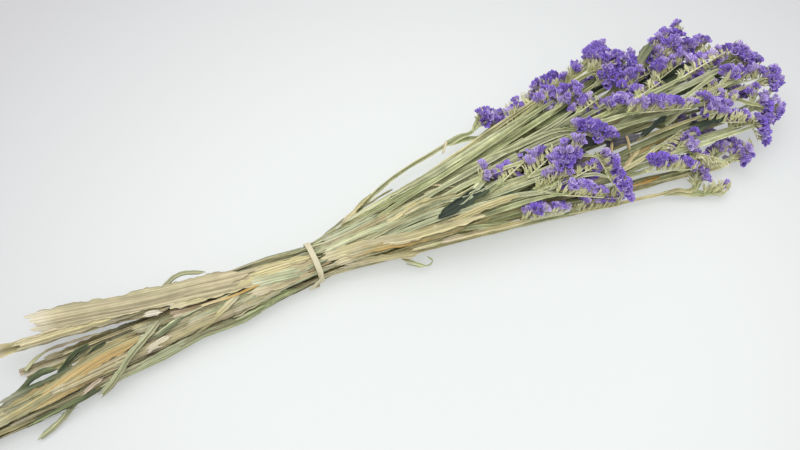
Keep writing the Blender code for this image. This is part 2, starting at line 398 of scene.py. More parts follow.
# along the bunch: the middle of it, and how far it reaches to both sides and upwards from there
SLEEVE_X = (-345, -300, -259, -227, -196, -164, -133, -99, -68, -50, -30, -10, 30)
SLEEVE_Y = (10, 10, 9.5, 7, 4.6, 4.6, 1.6, 4.0, 3.2, 6.6, 8.1, 11, 10)
SLEEVE_WIDE = (42, 42, 41, 31, 27.5, 22.5, 21, 18, 14.6, 20, 26, 36, 80)
SLEEVE_HIGH = (16, 16, 15, 13.5, 13, 12.5, 12.2, 12, 11.8, 13, 17, 25, 60)
SLEEVE_Z = 12.3
# how square it is, and the outer share of it in which things are pressed inwards
SLEEVE_SQUARE, SLEEVE_SOFT = 2.6, 0.3
# how far above the table things begin to be pressed up from it: straps, the band, and whole stems
# and spikes
LOW_REST, BAND_REST, HIGH_REST = 0.001, 0.0008, 0.002


def tuck_in(points):
    """Presses points smoothly into the outline of the bunch, and up from the table."""
    x = points[:, 0] / MM
    middle = np.column_stack((np.interp(x, SLEEVE_X, SLEEVE_Y), np.full_like(x, SLEEVE_Z)))
    reach = np.column_stack((np.interp(x, SLEEVE_X, SLEEVE_WIDE), np.interp(x, SLEEVE_X, SLEEVE_HIGH)))
    off = points[:, 1:] / MM - middle
    share = (np.abs(off / reach) ** SLEEVE_SQUARE).sum(axis=1) ** (1 / SLEEVE_SQUARE)
    free = 1 - SLEEVE_SOFT
    pressed = free + SLEEVE_SOFT * np.tanh((share - free) / SLEEVE_SOFT)
    drawn_in = np.where(share > free, pressed / np.maximum(share, 1e-6), 1)
    points[:, 1:] = (middle + off * drawn_in[:, None]) * MM
    points[:, 2] = off_table(points[:, 2], LOW_REST)
    return points


def off_table(heights, soft):
    """Heights pressed smoothly upwards where they would be under the table."""
    return np.where(heights < soft, soft * np.exp(np.minimum(0, (heights - soft) / soft)), heights)


stem_finish = fibre_finish("dry_stem", (12, 440, 1), 0.8, 0.0005)
stem_template = winged_bar("winged_bar", (59, 1), WING_TOP)
stem_routes, stem_pieces = [], []
for number, (row, column, butt, bow, fork, front, back) in enumerate(STEMS, start=1):
    route = stem_route(row, column, butt, bow, fork)
    length = length_of(route)
    stem = own_copy(stem_template, f"stem_{number:02d}_core")
    points, wing = wave_wings(stem, length, number, spread=WING_SPREAD)
    x = points[:, 0]
    # green in front of the band, paler behind it, brown along the wings' edges, pale at the cut
    share = np.clip((x / length - 0.35) / 0.2 + 0.4 * ripple(x, number, 0.05, wing), 0, 1)[:, None]
    tone = blended(back, front, share)
    tone = blended(tone, STRAW, 0.35 * (wing * (0.5 + 0.5 * ripple(x, number + 9, 0.02, wing)))[:, None])
    # painted shade: behind the band the lower rows are painted darker, under the rows above, and every stem
    # is a little darker there too
    clear = number in CLEAR_ENDS
    depth = 1.05 if clear else ROW_PAINTED_SHADE[row]
    # the core between the wings is painted darker and the wings lighter: painted shade and painted highlight
    tone *= np.where(wing, 1.1, 0.7)[:, None] * (depth + (1.05 - depth) * share) * (0.85 + 0.15 * share)
    give_tone(stem, blended(tone, CUT_WOOD, np.clip(1 - x / 0.007, 0, 1)[:, None]))
    grain_map(stem, x, np.arctan2(points[:, 2], points[:, 1]) * 0.003)
    swell = 0.75 if clear else BUTT_SWELL
    bend_along(stem, route, (swell, (1 + swell) / 2, 1, 1, (1 + FORK_TAPER) / 2, FORK_TAPER), level=(2, 3))
    set_places(stem, tuck_in(places(stem)))
    stem_routes.append(route)
    stem_pieces.append([stem])

# ---- Leaf straps --------------------------------------------------------------------------------
# Long dry leaves and torn stem wings lie along the stems, several deep: flat ribbed straps with wavy, ragged
# edges. The band holds most of them, and the rest are caught between the stems. Near-black straps laid among
# the flowers are dark leaves and painted shade together, filling the gaps between the spikes; the grey ones
# are painted shadow of the table seen through the gaps.
STRAP_COLUMNS, STRAP_ROWS = 12, 60
SHRED_COLUMNS, SHRED_ROWS, SHRED_WIDTH = 5, 40, 3.4
STRAP_WALL = 0.00025
TEAR, FOLD_HEIGHT, RIB_SPREAD = 0.4, 0.00055, 0.0018
# large and fine crumples: the kind of noise, its height, length and breadth
CRUMPLES = ((11, 0.0009, 0.035, 0.008), (13, 0.00025, 0.005, 0.002))
PALE_GREEN = (0.61, 0.65, 0.41)
PINK_BEIGE = (0.64, 0.52, 0.38)
BROWN = (0.38, 0.27, 0.15)
# a near-black green for dark leaves and painted shade among the flowers, and a grey that is painted shadow on
# the table
PAINTED_SHADE_GREEN = (0.045, 0.06, 0.045)
PAINTED_SHADOW_GREY = (0.13, 0.125, 0.135)
ORANGE = (0.64, 0.45, 0.19)
PALE_STRAW = (0.71, 0.63, 0.41)
DULL_GREEN = (0.44, 0.44, 0.26)
OLIVE_GREEN = (0.54, 0.56, 0.35)
DRY_STRAW = (0.60, 0.54, 0.33)

# name, midrib, width, side that it faces, two colours and, where it stands out, its rib's height
LAID_STRAPS = (
    ("upper_green", ((-190, 19, 23), (-155, 15, 24), (-130, 13, 23), (-100, 8, 22)), 11, 10,
     PALE_GREEN, BEIGE),
    ("long_beige", ((-182, 12, 25), (-139, 7, 25), (-100, 3, 23), (-62, 0, 22)), 14, 0, BEIGE, STRAW, 0.8),
    ("under_beige", ((-250, 25, 18), (-228, 21, 19), (-203, 15, 20), (-176, 10, 21)), 9, -15, BEIGE, STRAW),
    ("dark_teal", ((-199, -11, 24), (-186, -8, 25.5), (-172, -4, 26)), 6, 0, DARK_GREEN, GREY_GREEN),
    ("dark_foot", ((-262, -42, 8), (-276, -38, 9), (-300, -36, 8)), 5, -30, DARK_GREEN, DULL_GREEN),
    ("lower_lip", ((-252, 29, 17), (-232, 25.5, 18), (-207, 18, 20), (-180, 12, 22)), 8, -10, STRAW, BEIGE),
    ("pale_stub", ((-274, 32, 12), (-263, 30.5, 13), (-246, 26, 14)), 5, -10, GREY_GREEN, PALE_GREEN),
    ("pink_green", ((-292, 13, 6), (-274, 20, 9), (-255, 18, 12), (-230, 15, 14)), 5, 30,
     LEAF_GREEN, PINK_BEIGE),
    ("dark_torn", ((-229, 4, 20), (-240, 1, 20), (-249, -4, 17), (-255, -10, 13)), 3.8, 25,
     DARK_GREEN, OLIVE),
    ("dark_short", ((-240, 8, 18), (-253, 6, 17), (-262, 2, 14), (-271, -4, 11)), 3.6, 25,
     DARK_GREEN, DARK_GREEN),
    ("dark_curl", ((-272, 5, 12), (-285, 3, 12), (-297, -2, 10), (-311, -8, 8)), 3.6, 25,
     DARK_GREEN, DULL_GREEN),
    ("orange", ((-326, -25, 20), (-277, -17, 22), (-240, -9, 24), (-205, -5, 24)), 14, -8,
     ORANGE, OLIVE, 0.6),
    ("orange_low", ((-330, -24, 18), (-285, -22, 20), (-245, -17, 20), (-205, -11, 20)), 9, -25,
     ORANGE, STRAW, 0.8),
    ("pink_leaf", ((-258, -27, 15), (-248, -25, 18), (-238, -21, 18)), 4, -30, PINK_BEIGE, ORANGE_BROWN),
    ("lower_grey", ((-245, -29, 11), (-198, -23, 14), (-165, -20, 13), (-130, -18, 12)), 11, -30,
     GREY_GREEN, PALE_GREEN),
    ("lower_edge", ((-250, -33, 6), (-205, -27, 8), (-160, -23, 8), (-115, -19, 8)), 9, -50,
     LEAF_GREEN, GREY_GREEN),
    ("crossing", ((-129, -3, 26), (-146, -11, 24), (-163, -17, 19), (-182, -18, 14)), 7, -10,
     DULL_GREEN, STRAW, 0.4),
    ("orange_thin", ((-158, -1, 25), (-138, -3, 26), (-112, -2, 25)), 4, 30, ORANGE_BROWN, STRAW),
    ("brown", ((-182, 3, 21), (-160, 0, 21), (-132, -3, 21)), 9, 0, BROWN, BEIGE),
    ("dark_low", ((-150, -12, 15), (-122, -12, 16), (-88, -13, 15)), 9, -30, DARK_GREEN, LEAF_GREEN),
    ("beige_low", ((-140, -14, 18), (-118, -12, 20), (-92, -9, 20)), 8, -20, BEIGE, STRAW),
    ("green_low", ((-142, -19, 12), (-112, -17, 13), (-80, -15, 13)), 7, -40, PALE_GREEN, LEAF_GREEN),
    ("green_patch", ((-122, 2, 24), (-100, -2, 24), (-76, -5, 22)), 10, -5, DULL_GREEN, PALE_GREEN),
    ("pink_band", ((-124, -6, 23), (-98, -8, 22), (-70, -9, 20)), 7, -15, BEIGE, STRAW),
    ("top_straw", ((-130, 10, 23), (-100, 8, 23), (-66, 4, 22)), 8, 15, STRAW, BEIGE),
    ("flare", ((-37, 23, 17), (-27, 27, 19), (-17, 31.5, 20), (-5, 37, 20)), 6, 25, STRAW, OLIVE, 0.4),
    # the near-black straps among the flowers below are painted shade laid in the gaps between the spikes,
    # partly dark leaves; the grey ones are painted shadow on the table
    ("dark_gap", ((72, -7, 42), (48, -11, 42), (24, -15, 40)), 11, 0, PAINTED_SHADE_GREEN, DARK_GREEN),
    ("dark_low_gap", ((78, -20, 41), (105, -27, 42)), 7, 0, PAINTED_SHADE_GREEN, DARK_GREEN),
    ("dark_middle", ((104, 8, 42), (128, 4, 44), (150, -2, 45), (176, -8, 45)), 13, 0,
     PAINTED_SHADOW_GREY, PAINTED_SHADE_GREEN),
    ("dark_next", ((168, -11, 43), (184, -14, 44), (200, -17, 44)), 9, 0, PAINTED_SHADOW_GREY, PAINTED_SHADOW_GREY),
    ("dark_left", ((130, 32, 36), (157, 33, 38), (184, 30, 39)), 12, 0, DARK_GREEN, LEAF_GREEN),
    ("dark_right", ((198, -17, 43), (210, -14, 45), (226, -10, 46)), 5, 0, PAINTED_SHADE_GREEN, PAINTED_SHADE_GREEN),
    ("dark_far", ((240, -6, 40), (264, -5, 42), (290, -7, 42)), 8, 0, DARK_GREEN, PAINTED_SHADE_GREEN),
    ("dark_near", ((242, -24, 36), (258, -24, 37), (276, -24, 37)), 10, 0, PAINTED_SHADE_GREEN, DARK_GREEN),
    ("dark_under", ((96, 14, 20), (150, 20, 22), (210, 22, 24)), 24, 0, DARK_GREEN, PAINTED_SHADE_GREEN),
    ("dark_crown", ((172, 52, 24), (205, 50, 27), (240, 48, 28)), 15, 0, DARK_GREEN, PAINTED_SHADE_GREEN),
    ("dark_crest", ((212, 32, 32), (250, 30, 34), (288, 28, 34)), 15, 0, DARK_GREEN, PAINTED_SHADE_GREEN),
    ("dark_tip", ((236, 12, 36), (262, 10, 38), (292, 8, 38)), 9, 0, DARK_GREEN, PAINTED_SHADE_GREEN),
    ("dark_edge", ((-300, -37, 12), (-270, -31, 13), (-240, -28, 13)), 7, -35, DARK_GREEN, LEAF_GREEN),
    ("dark_side", ((-215, -25, 12), (-190, -22, 13), (-160, -20, 13)), 6, -40, DARK_GREEN, LEAF_GREEN),
    ("orange_leaf", ((167, -25, 45), (171, -19, 46), (175, -13, 46)), 2.4, 20, ORANGE_BROWN, STRAW),
    ("orange_next", ((183, -26, 46), (186, -19, 47), (188, -12, 46)), 2.6, -10, ORANGE_BROWN, STRAW),
    ("orange_fork", ((173, -35, 36), (183, -30, 38), (194, -25, 40)), 4, 10, STRAW, ORANGE_BROWN, 0.4),
    ("straw_low", ((172, -41, 20), (188, -43, 21), (206, -44, 19)), 4, -10, STRAW, ORANGE_BROWN, 0.4),
    ("orange_bit", ((190, -23, 26), (193, -13, 29), (195, -5, 30)), 3, -20, ORANGE_BROWN, STRAW),
    ("leaf_top", ((219, 37, 42), (231, 43, 47), (243, 50, 49), (252, 56, 49)), 9, 10, DARK_GREEN, DARK_OLIVE),
    ("top_stub", ((-141, 17, 16), (-136, 22, 19), (-134, 26, 21)), 3.6, 20, DARK_OLIVE, DULL_GREEN),
    ("leaf_far", ((296, 19, 36), (301, 26, 38), (306, 34, 40)), 6, 10, DARK_GREEN, LEAF_GREEN, 0.5),
    ("straw_thin", ((18, -17, 33), (34, -19, 34.5), (51, -21, 36)), 6, -10, STRAW, CREAM, 0.5),
    ("straw_over", ((14, 26, 30), (41, 14, 34), (52, 5, 36)), 3.5, 10, STRAW, PINK_BEIGE),
    ("left_thin", ((-35, 20, 24), (13, 24, 31), (66, 30, 37), (120, 36, 42)), 4.5, 10,
     DULL_GREEN, GREY_GREEN, 0.6),
    ("left_green", ((-36, 15, 25), (10, 18, 32), (71, 23, 38), (138, 36, 42)), 4, -10,
     LEAF_GREEN, DULL_GREEN, 0.6),
    ("gap_dark", ((-266, 2, 14), (-281, 3, 14), (-294, -3, 13), (-311, -11, 11), (-326, -18, 10)), 5, 20,
     DARK_GREEN, LEAF_GREEN),
    ("straw_fork", ((190, -22, 26), (214, -18, 27), (236, -14, 27)), 6, 0, STRAW, ORANGE_BROWN, 0.5),
    ("pink_tip", ((58, 43, 26), (61, 45, 28), (66, 51, 30)), 3, 40, PINK_BEIGE, STRAW),
    ("hook", ((-130, 18, 20), (-134, 21, 22), (-133, 25, 24), (-130, 28, 24)), 2.5, 60,
     LEAF_GREEN, PALE_GREEN),
    ("cream_shred", ((-199, 11, 27), (-192, 10, 28.5), (-184, 7, 27.5)), 6, 0, CREAM, CREAM),
    ("cream_patch", ((-206, -23, 25), (-197, -21, 26.5), (-185, -17, 26)), 8, -10, CREAM, PALE_STRAW),
    ("cream_torn", ((-205, -26, 24), (-199, -24, 25.5), (-193, -25, 25)), 5, 20, CREAM, CREAM),
    ("stub", ((-7, -20, 10), (0, -27, 10), (8, -33, 8)), 4, 10, GREY_GREEN, LEAF_GREEN, 0.5),
    ("pale_long", ((-60, 4, 22), (-38, 4, 25), (2, 1, 29), (41, -5, 33), (80, -12, 37)), 6, 0,
     PALE_GREEN, GREY_GREEN, 1.0),
    ("cream_long", ((-64, 0, 21), (-30, -7, 27), (-3, -14, 31), (30, -20, 35), (60, -26, 38)), 10, -8,
     PALE_STRAW, STRAW, 1.0),
    ("straw_tip", ((18, -19, 33), (56, -21, 40), (90, -24, 43)), 6, -5, STRAW, BEIGE),
    ("beige_tip", ((22, -27, 27), (62, -35, 29), (92, -40, 28)), 4.5, -20, BEIGE, STRAW),
    ("beige_under", ((0, -22, 23), (34, -28, 25), (60, -34, 24)), 4.5, -20, STRAW, GREY_GREEN),
    ("gold_low", ((-46, -9, 26), (-15, -15, 29), (18, -21, 31), (46, -25, 31)), 8, -20, OLIVE, ORANGE_BROWN),
    ("gold_top", ((4, 1, 36), (28, 0, 41), (48, -3, 42)), 4, 0, STRAW, OLIVE),
    ("green_crown", ((306, 20, 38), (313, 26, 41), (320, 32, 42)), 5, 10, DARK_GREEN, LEAF_GREEN),
    ("yellow_low", ((-54, -9, 18), (-36, -14, 18), (-11, -21, 19), (12, -25, 19)), 8, -20, PALE_STRAW, STRAW),
)


def ripple_pair(points, across, seed, length, breadth):
    """Smooth noise from -1 to 1 over a sheet, with bumps of about that length and breadth."""
    return np.array([noise.noise((x / length + seed * 5.17, a / breadth, seed * 2.31))
                     for x, a in zip(points, across)]) * 1.6


def flat_grid(name, along, across):
    """A flat sheet, 1 by 1, from X = 0 to X = 1, cut into a grid."""
    bpy.ops.mesh.primitive_grid_add(x_subdivisions=along, y_subdivisions=across, size=1, location=(0.5, 0, 0))
    made = bpy.context.object
    made.name = name
    bpy.ops.object.transform_apply(location=True)
    return made


def give_wall(piece, thickness):
    """Gives a thin sheet its thickness, half to each side."""
    wall = piece.modifiers.new("wall", "SOLIDIFY")
    wall.thickness = thickness
    wall.offset = 0
    bpy.context.view_layer.objects.active = piece
    bpy.ops.object.modifier_apply(modifier="wall")


def dress(piece, finish, slot, *nodes):
    """Gives a finished piece its material and its body, and hides the solids that it stands for."""
    piece.data.materials.clear()
    piece.data.materials.append(finish)
    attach(piece, "root")
    if nodes:
        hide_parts(*nodes)


def lay_on_table(piece, soft):
    points = places(piece)
    points[:, 2] = off_table(points[:, 2], soft)
    set_places(piece, points)


def strap(name, path, width, facing, colours, rib=0.0, seed=0, held=True, pale_end=0.3, crumple=1.0):
    """A long dry leaf: folded along its length, a little wavy, torn at its edges and ends."""
    narrow = width < SHRED_WIDTH
    columns = SHRED_COLUMNS if narrow else STRAP_COLUMNS
    made = own_copy(shred_template if narrow else strap_template, name)
    points = places(made)
    local = random.Random(seed)
    share, side = points[:, 0].copy(), points[:, 1] * 2
    along = share * length_of(path)
    edge = np.sign(side) * 3.3
    # its outline: narrower at both ends, wavy and torn at the edges, frayed at the ends
    half = width * MM / 2 * np.interp(share, (0, 0.08, 0.88, 1), (0.72, 1, 0.92, 0.35))
    half *= (1 + 0.10 * ripple_pair(along, edge, seed, 0.06, 1)
             + 0.08 * ripple_pair(along, edge, seed + 1, 0.004, 1))
    half *= 1 + TEAR * min(1, 7 / width) * np.clip(ripple_pair(along, edge, seed + 3, 0.008, 1) - 0.25, -1, 0)
    across = side * half
    fray = ripple_pair(side, np.zeros_like(side), seed + 5, 0.3, 1) * min(width * 0.7, 5) * MM
    along += fray * (np.clip(1 - share / 0.1, 0, 1) - np.clip((share - 0.9) / 0.1, 0, 1))
    # its folds, its midrib and its crumples
    column = np.round((side + 1) / 2 * columns).astype(int)
    folds = sorted(local.sample(range(1, columns), 3 if narrow else 5))
    knots = (0, *folds, columns)
    heights = [local.uniform(-0.5, 0.5) + (0.45 if at % 2 else -0.45) for at in range(len(knots))]
    tints = np.array([local.uniform(0.84, 1.12) for _ in knots])
    points[:, 0], points[:, 1] = along, across
    points[:, 2] = (np.interp(column, knots, heights) * FOLD_HEIGHT
                    + rib * MM * np.exp(-(across / RIB_SPREAD) ** 2))
    points[:, 2] += crumple * sum(high * ripple_pair(along, across, seed + kind, long, broad)
                                  for kind, high, long, broad in CRUMPLES)
    set_places(made, points)
    # its colours: two mixed in patches, a tint for each fold, painted shade in the low creases and a pale
    # torn end
    mix = np.clip(0.5 + 0.9 * ripple_pair(along, across, seed + 17, 0.05, 0.004), 0, 1)[:, None]
    shade = tints[np.searchsorted(folds, column, "right")]
    shade *= 1 + 0.14 * ripple_pair(along, column, seed + 19, 0.05, 0.7)
    # painted shade: the columns of the low creases are darkened
    shade *= np.where(np.isin(column, [at for at, high in zip(knots, heights) if high < -0.3]), 0.68, 1.0)
    frayed = (pale_end * np.clip(1.3 - along / 0.016, 0, 1))[:, None]
    tone = blended(blended(*colours, mix) * shade[:, None], CREAM, frayed)
    give_tone(made, np.clip(tone, 0, 0.95))
    grain_map(made, along, across)
    give_wall(made, STRAP_WALL)
    bend_along(made, path, facings=(facing,) * len(path))
    if held:
        set_places(made, tuck_in(places(made)))
    lay_on_table(made, LOW_REST)
    return made


strap_template = flat_grid("strap_blank", STRAP_ROWS, STRAP_COLUMNS)
shred_template = flat_grid("shred_blank", SHRED_ROWS, SHRED_COLUMNS)
strap_finish = fibre_finish("dry_leaf", (9, 700, 1), 0.85, 0.0004, 0.1, 0.6)
for seed, (name, path, width, facing, front, back, *rib) in enumerate(LAID_STRAPS):
    piece = strap(f"strap_{name}", path, width, facing, (front, back), *(rib or (0,)), seed,
                  pale_end=0.0 if "dark" in name else 0.3)
    dress(piece, strap_finish, "dry_leaf")


def route_part(route, start, end, aside, lift, jitter, pinch, near, press):
    """Points over part of a stem's route, drawn in towards it where the band holds the bunch."""
    cut_end, held_to, fork = route[0], route[3], route[5]
    path = []
    for step in range(4):
        share = start + (end - start) * step / 3
        place = between(cut_end, held_to, share) if share < 1 else between(held_to, fork, (share - 1) * 0.6)
        spread = 1 - pinch * max(0.0, 1 - abs(share - 0.95) / near)
        path.append((place[0], place[1] + aside * spread + scatter.uniform(-jitter, jitter),
                     place[2] + lift * (1 - press + press * spread)))
    return path


# straps by rule, that fill the bundle between the stems. The last one of the first stem is narrow
# and hangs out below the bunch
scatter = random.Random(21)
STRAP_COLOURS = (STRAW, BEIGE, GREY_GREEN, PALE_GREEN, OLIVE, LEAF_GREEN, STRAW, BEIGE)
END_COLOURS = {(10, 0): [DARK_OLIVE, DARK_GREEN], (11, 0): [STRAW, BEIGE]}
for number, route in enumerate(stem_routes):
    row = STEMS[number][0]
    for count in range(1 if number in (2, 6) else 0, 3 if number == 3 else 4):
        hanging = number == 0 and count == 3
        start = (0.12, 0.35, 0.62, 1.0)[count] + scatter.uniform(-0.08, 0.08)
        end = start + scatter.uniform(0.4, 0.62) - (0.25 if hanging else 0)
        lift = (2.2, 2.6, 3.4)[row] + scatter.uniform(-0.6, 0.8)
        aside = scatter.uniform(-3, 3) + (6 if hanging else 0)
        path = route_part(route, start, end, aside, lift, 1, 0.6, 0.2, 0.4)
        # painted shade: straps in the lower rows are darker, as under the rows above, and those that start
        # near the cut ends are a little darker still
        row_painted_shade = (0.75, 0.88, 0.97)[row] * (0.85 if start < 0.7 else 1.0)
        colours = [tuple(value * row_painted_shade for value in pick) for pick in scatter.sample(STRAP_COLOURS, 2)]
        colours = END_COLOURS.get((number, count), colours)
        width = scatter.uniform(5, 10) * (0.45 if hanging else 1)
        piece = strap(f"strap_{number + 1:02d}_{count + 1}", path, width, scatter.uniform(-40, 30), colours,
                      scatter.choice((0, 0, 0.8)), 50 + number * 4 + count)
        dress(piece, strap_finish, "dry_leaf")

# narrow shreds of stem wing, that lie on top: first over the whole length, then in front
SHRED_COLOURS = ((STRAW, BEIGE), (DARK_OLIVE, OLIVE), (GREY_GREEN, PALE_GREEN), (BROWN, BEIGE),
                 (PALE_STRAW, STRAW), (DARK_GREEN, LEAF_GREEN), (OLIVE, STRAW), (DULL_GREEN, GREY_GREEN))
FRONT_COLOURS = SHRED_COLOURS[1:4] + SHRED_COLOURS[5:]
TOP_STEMS, FRONT_STEMS = (4, 5, 6, 7, 8, 9, 9, 10, 10, 11, 11, 12, 12), (8, 9, 10, 11, 12)
SHREDS, SHREDS_BEHIND = 70, 44
for number in range(SHREDS):
    front = number >= SHREDS_BEHIND
    route = stem_routes[scatter.choice(FRONT_STEMS if front else TOP_STEMS)]
    start = scatter.uniform(1.0, 1.7) if front else scatter.uniform(0.02, 1.0)
    end = start + scatter.uniform(0.25, 0.5)
    aside, lift = scatter.uniform(-7, 7), scatter.uniform(2.5, 5)
    path = route_part(route, start, end, aside, lift, 0.8, 0.7, 0.3, 0)
    piece = strap(f"shred_{number + 1:02d}", path, scatter.uniform(1.5, 3.0), scatter.uniform(-50, 40),
                  scatter.choice(FRONT_COLOURS if front else SHRED_COLOURS), 0, 300 + number, crumple=0.5)
    dress(piece, strap_finish, "dry_leaf")

# ---- Leaves that stand clear --------------------------------------------------------------------
# A few dry leaves stand clear of the stems: one broad and torn on top, one curled up, one folded
# across, a dark one and a tendril. Each is given by its midrib, width, facing, colours and rib.
CLEAR_LEAVES = (
    ("leaf_broad", ((-279, 41, 22), (-238, 32, 23), (-196, 22, 24), (-150, 14, 24), (-112, 8, 23)), 20, 0,
     DRY_STRAW, BEIGE, 1.2),
    ("leaf_curled", ((-183, 24, 19), (-175, 29, 21), (-164, 31, 24), (-145, 24, 24)), 3.8, 0,
     DULL_GREEN, GREY_GREEN, 0),
    ("leaf_over", ((-187, 3, 24), (-202, -8, 25.5), (-219, -17, 23), (-233, -25, 16), (-247, -30, 8)), 6.5, 0,
     DULL_GREEN, OLIVE_GREEN, 0.2),
    ("leaf_between", ((-240, 8, 15), (-256, 3, 13), (-270, -4, 11), (-284, -6, 9)), 4.4, 40,
     DARK_GREEN, DULL_GREEN, 0),
    ("leaf_low", ((-254, -20, 11), (-266, -27, 8), (-279, -34, 5), (-297, -40, 3)), 5, 20,
     DULL_GREEN, OLIVE_GREEN, 0),
    ("leaf_tendril", ((-4, -22.9, 5), (6, -30, 5), (14, -31, 8), (12, -27, 12)), 3, 90,
     LEAF_GREEN, GREY_GREEN, 0),
    ("leaf_straw", ((-12, 3, 27), (3, 4, 31), (18, 7, 34), (32, 4, 36)), 5, 0, STRAW, STRAW, 0),
)


def put_away(template):
    bpy.data.objects.remove(template)


for seed, (name, path, width, facing, front, back, rib) in enumerate(CLEAR_LEAVES, start=200):
    piece = strap(f"dry_{name}", path, width, facing, (front, back), rib, seed, False,
                  0.75 if name == "leaf_broad" else 0.2)
    dress(piece, strap_finish, "dry_leaf", name)
put_away(strap_template)
put_away(shred_template)

# ---- Rubber band --------------------------------------------------------------------------------
# One flat band of natural rubber, wound twice round the bunch. The turns lie on each other on top
# and part at the right, where the band is twisted over.
BAND_WIDTH, BAND_WALL = 0.0042, 0.0010
BAND_STEPS = 192
BAND_PART = 9.0
RUBBER_CREAM = (0.80, 0.73, 0.50)


def rubber_finish():
    """Matt natural rubber, slightly uneven: darker in soft random blotches."""
    material, shader = new_finish("natural_rubber", 0.55, 0.4)
    cloud = speckle(material, 220, 4)
    blend = add_node(material, "Mix", data_type="RGBA", a=(*[value * 0.82 for value in RUBBER_CREAM], 1),
                     b=(*RUBBER_CREAM, 1))
    wire(material, (cloud, "Fac", blend, "Factor"), (blend, "Result", shader, "Base Color"))
    roughen(material, cloud, 0.3, 0.0002)
    return material


# a flat strip, laid twice round the bunch, half a twist each way where the turns part
band = flat_grid("rubber_band_wound", BAND_STEPS, 2)
points = places(band)
turn = points[:, 0] * 2 * math.tau
second = points[:, 0] > 0.5
aside = np.where(second, np.exp(-((turn - 3.1 * math.pi) / 0.42) ** 2), 0)
y, z = np.cos(turn), np.sin(turn)
square = 1 / (np.abs(y) ** SLEEVE_SQUARE + np.abs(z) ** SLEEVE_SQUARE) ** (1 / SLEEVE_SQUARE)
over = 1.03 + 0.05 * second + 0.1 * aside
wide, high = np.interp(BAND_X, SLEEVE_X, SLEEVE_WIDE), np.interp(BAND_X, SLEEVE_X, SLEEVE_HIGH)
middle = np.column_stack((BAND_X - BAND_PART * aside, BAND_Y + (wide * square * over) * y,
                          SLEEVE_Z + (high * square * over) * z)) * MM
twist = math.pi * (np.clip((points[:, 0] - 0.69) / 0.05, 0, 1) + np.clip((points[:, 0] - 0.79) / 0.05, 0, 1))
across = points[:, 1] * BAND_WIDTH
spread = np.column_stack((np.cos(twist), np.sin(twist) * y, np.sin(twist) * z))
set_places(band, middle + spread * across[:, None])
bpy.ops.object.mode_set(mode="EDIT")
bpy.ops.mesh.select_all(action="SELECT")
bpy.ops.mesh.remove_doubles(threshold=0.00002)
bpy.ops.object.mode_set(mode="OBJECT")
give_wall(band, BAND_WALL)
lay_on_table(band, BAND_REST)
edge = band.modifiers.new("edge", "BEVEL")
edge.width = 0.0002
edge.segments = 2
edge.angle_limit = math.radians(60)
bpy.ops.object.modifier_apply(modifier="edge")
dress(band, rubber_finish(), "natural_rubber", "rubber_band")

# ---- Flower spikes ------------------------------------------------------------------------------
# Each stem forks into thin branches, and each branch ends in one-sided spikes. A spike is a thin
# stalk with two rows of green spikelets, and out of each come pleated papery violet calyces.

# stem, letter, foot of the spike, heading, pitch, length, side that its flowers face, and the share
# of its spikelets that are in flower
SPIKES = (
    (1, "a", (231, -60, 8), 30, 5, 21, 90, 0.12), (1, "b", (234, -67, 6), -15, 3, 20, 60, 0.3),
    (2, "a", (268, -51, 9), 5, 6, 25, 110, 0.5), (2, "b", (257, -43, 8), 6, 6, 20, 60, 0.9),
    (3, "a", (182, 53, 7), 10, 6, 34, 50, 0.9), (3, "b", (178, 40, 3), -12, 0, 30, 10, 0.9),
    (3, "c", (165, 60, 14), 40, 8, 19, 40, 1.0), (4, "a", (96, 59, 17), 26, 9, 15, 0, 1.0),
    (4, "b", (107, 54, 12), 24, 6, 15, 0, 1.0), (5, "a", (192, -40, 30), -25, 5, 36, 63, 0.8),
    (5, "b", (206, -26, 31), 10, 6, 31, -100, 0.7), (5, "c", (148, -42, 22), -20, 0, 21, 63, 0.2),
    (6, "a", (251, -20, 34), -26, 3, 37, 63, 0.8), (6, "b", (297, -32, 24), 15, 0, 29, -95, 0.9),
    (6, "c", (233, -37, 28), -38, -4, 27, -90, 0.05), (7, "a", (306, 21, 37), 20, 45, 12, -50, 1.0),
    (7, "b", (296, 0, 34), -10, 3, 30, 60, 0.3), (7, "c", (262, 26, 22), 10, -4, 32, 20, 0.9),
    (8, "a", (244, 47, 33), 19, 9, 43, 20, 1.0), (8, "b", (264, 41, 26), 4, 2, 28, 40, 0.9),
    (8, "c", (201, 53, 32), 0, 9, 34, 50, 1.0), (9, "a", (117, 40, 28), 30, 6, 30, 130, 0.15),
    (9, "b", (143, 38, 32), -5, 6, 32, 60, 1.0), (9, "c", (139, 61, 14), 27, 0, 17, 40, 0.9),
    (10, "a", (84, -37, 26), -12, 0, 36, 63, 0.9), (10, "b", (115, -34, 40), -29, 0, 36, 63, 0.75),
    (10, "c", (158, -20, 46), -93, 0, 23, 60, 0.9), (11, "a", (80, -9, 42), 19, 6, 36, 153, 0.9),
    (11, "b", (131, -13, 46), 9, 11, 18, 20, 0.8), (12, "a", (196, 1, 52), -19, 0, 50, 63, 0.95),
    (12, "b", (254, -10, 42), -18, 0, 32, 63, 0.3), (12, "c", (252, 14, 50), 8, 2, 47, 150, 0.5),
    (13, "a", (148, 9, 50), -43, 0, 34, 63, 1.0), (13, "b", (153, 34, 42), 15, 5, 24, 30, 0.95),
)
